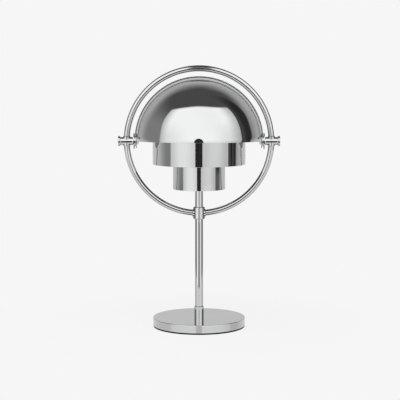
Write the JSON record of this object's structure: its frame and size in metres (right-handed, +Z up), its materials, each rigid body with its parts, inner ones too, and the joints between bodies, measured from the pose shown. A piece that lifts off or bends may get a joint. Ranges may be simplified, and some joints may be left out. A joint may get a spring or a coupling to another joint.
{
  "type": "cordless table lamp",
  "caption": "Chromed cordless table lamp: round weighted base, stem, a ring carrying two turning quarter-sphere shades, and open stacked cylinders round an LED light.",
  "frame": {"origin": "centre of the base's underside, on the table", "axes": "+Z up along the stem, X along the shades' pivots, -Y the front, where the smaller shade rests"},
  "size_m": [0.2036, 0.1606, 0.3307],
  "materials": {
    "chrome": "mirror-polished chrome plate",
    "steel": "zinc-plated, fine brushed",
    "ballast": "matt black paint",
    "aluminium": "satin, natural anodised",
    "black_plastic": "fine matt grain",
    "battery_film": "heat-shrunk film",
    "nylon": "natural nylon",
    "board_green": "solder mask",
    "board_white": "white solder mask",
    "led_yellow": "phosphor under silicone",
    "opal": "opal, satin outside",
    "rubber": "matt rubber",
    "lead_sleeve": "soft sleeve"
  },
  "bodies": {
    "frame": {"base_shell": "chrome", "foot_collar": "chrome", "stem_tube": "chrome", "ring_collar": "chrome", "ring_tube": "chrome", "pivot_barrel_left": "chrome", "pivot_barrel_right": "chrome", "pivot_bolt_left": "chrome", "pivot_bolt_right": "chrome", "ear_spacer_left": "chrome", "ear_spacer_right": "chrome", "pivot_nut_left": "chrome", "pivot_nut_right": "chrome", "large_cylinder": "chrome", "lower_cylinder": "chrome", "upper_cylinder": "chrome", "lower_spider": "chrome", "upper_spider": "chrome", "friction_washer_left": "chrome", "friction_washer_right": "chrome", "bottom_screws": "steel", "board_screws": "steel", "led_screws": "steel", "lock_washer": "steel", "stem_nut": "steel", "spider_nut": "steel", "nut_washer_left": "steel", "nut_washer_right": "steel", "collar_set_screw": "steel", "usb_c_port": "steel", "base_ballast": "ballast", "lamp_holder": "aluminium", "bottom_cover": "black_plastic", "tact_switch": "black_plastic", "battery_pack": "battery_film", "control_board": "board_green", "led_board": "board_white", "led_chips": "led_yellow", "diffuser": "opal", "foot_pad": "rubber", "lamp_lead": "lead_sleeve", "battery_leads": "lead_sleeve"},
    "inner_shade": {"inner_shade": "chrome"},
    "outer_shade": {"outer_shade": "chrome"},
    "power_button": {"power_button": "chrome", "switch_plunger": "nylon"}
  },
  "joints": [
    {"name": "inner_shade_swing", "type": "hinge", "parent": "frame", "child": "inner_shade", "pos_m": [0, 0, 0.236], "axis": [1, 0, 0], "range_deg": [-175, 85]},
    {"name": "outer_shade_swing", "type": "hinge", "parent": "frame", "child": "outer_shade", "pos_m": [0, 0, 0.236], "axis": [1, 0, 0], "range_deg": [-85, 175]},
    {"name": "power_button_press", "type": "slide", "parent": "frame", "child": "power_button", "axis": [-0.2924, -0.9563, 0], "range_m": [0, 0.0005], "stiffness_N_per_m": 300, "springref_m": -0.001}
  ]
}
